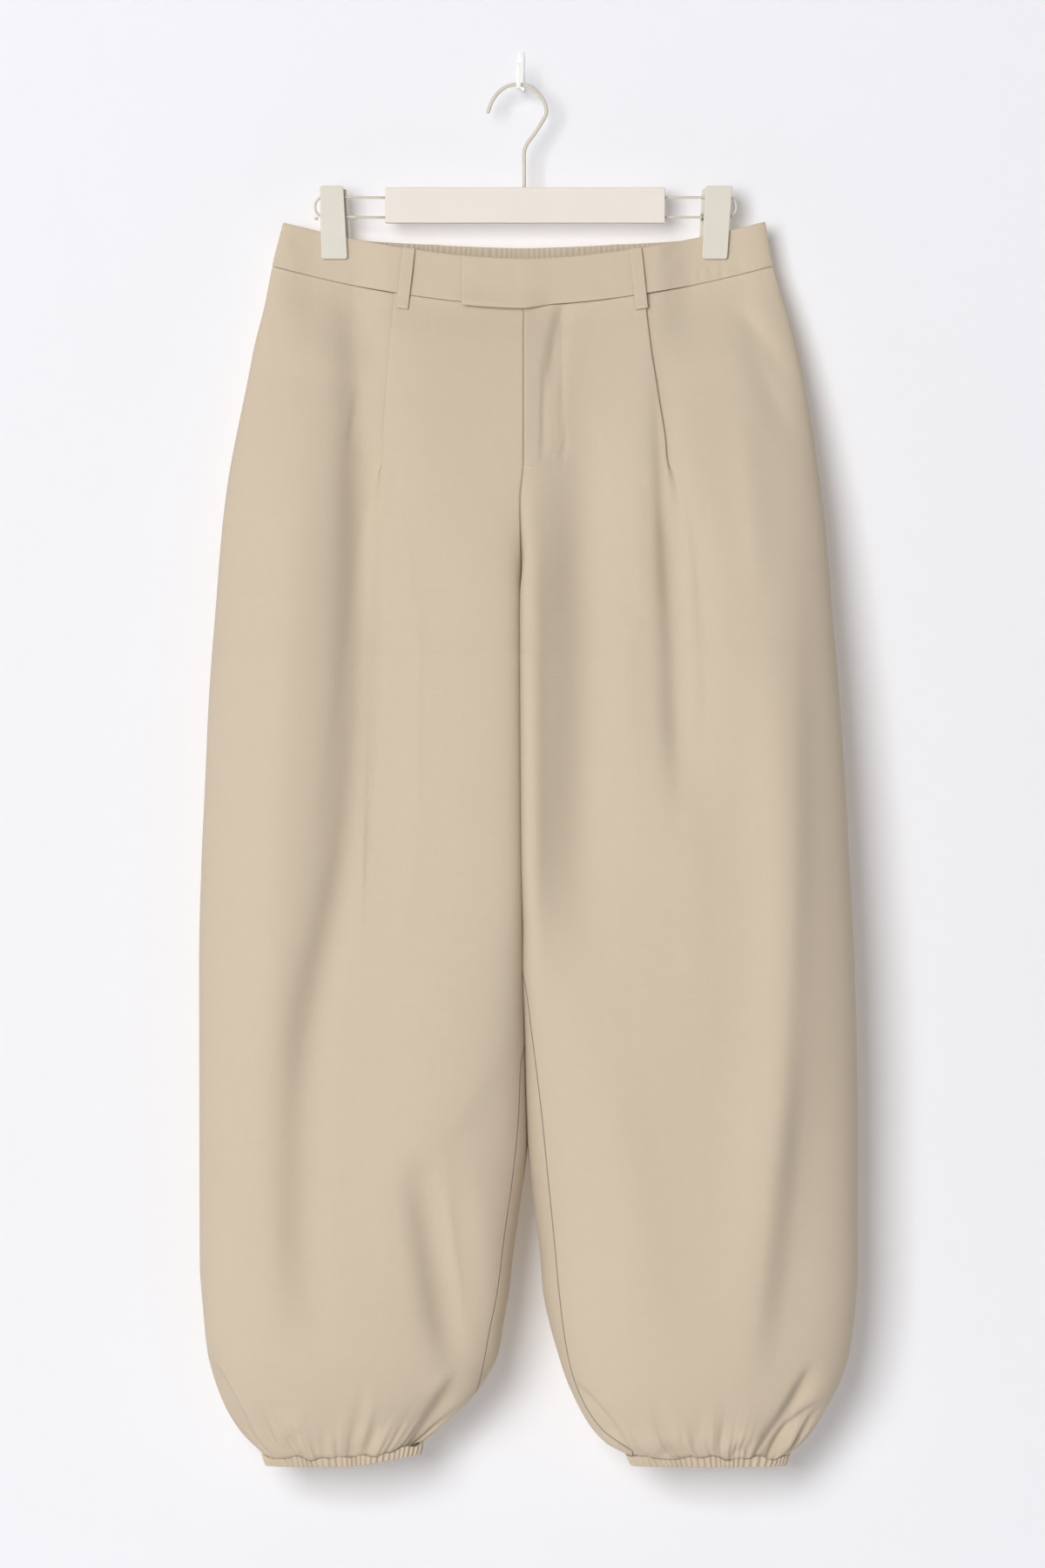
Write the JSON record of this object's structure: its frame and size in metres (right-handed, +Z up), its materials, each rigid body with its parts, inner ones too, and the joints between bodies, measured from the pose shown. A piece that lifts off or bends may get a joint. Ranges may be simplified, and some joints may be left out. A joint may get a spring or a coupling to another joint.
{
  "type": "balloon trousers on a clip hanger",
  "caption": "Pleated balloon trousers with gathered elastic hems, held flat at the waist by a clip hanger on a small wall hook.",
  "frame": {"origin": "on the flat back of the wall hook, level with the gap over its saddle, on the wall", "axes": "+Z up, +X to the wearer's left, -Y out of the wall towards the viewer"},
  "size_m": [0.5135, 0.1166, 1.105],
  "materials": {
    "cloth": "matte cotton twill, pale khaki",
    "board": "smooth matte cream",
    "clip": "smooth satin cream",
    "wire": "satin cream paint",
    "hook_paint": "satin white paint"
  },
  "bodies": {
    "root": {"front_right": "cloth", "front_left": "cloth", "back_right": "cloth", "back_left": "cloth", "waistband_front_right": "cloth", "waistband_front_left": "cloth", "waistband_back": "cloth", "fly_facing": "cloth", "hem_casing_right": "cloth", "hem_casing_left": "cloth", "belt_loop_front_right": "cloth", "belt_loop_front_left": "cloth", "belt_loop_back_right": "cloth", "belt_loop_back_left": "cloth", "hanger_bar": "board", "hanger_hook": "wire", "hanger_wire_right": "wire", "hanger_wire_left": "wire", "clip_front_right": "clip", "clip_back_right": "clip", "clip_spring_right": "clip", "clip_front_left": "clip", "clip_back_left": "clip", "clip_spring_left": "clip", "wall_hook": "hook_paint"}
  },
  "joints": []
}
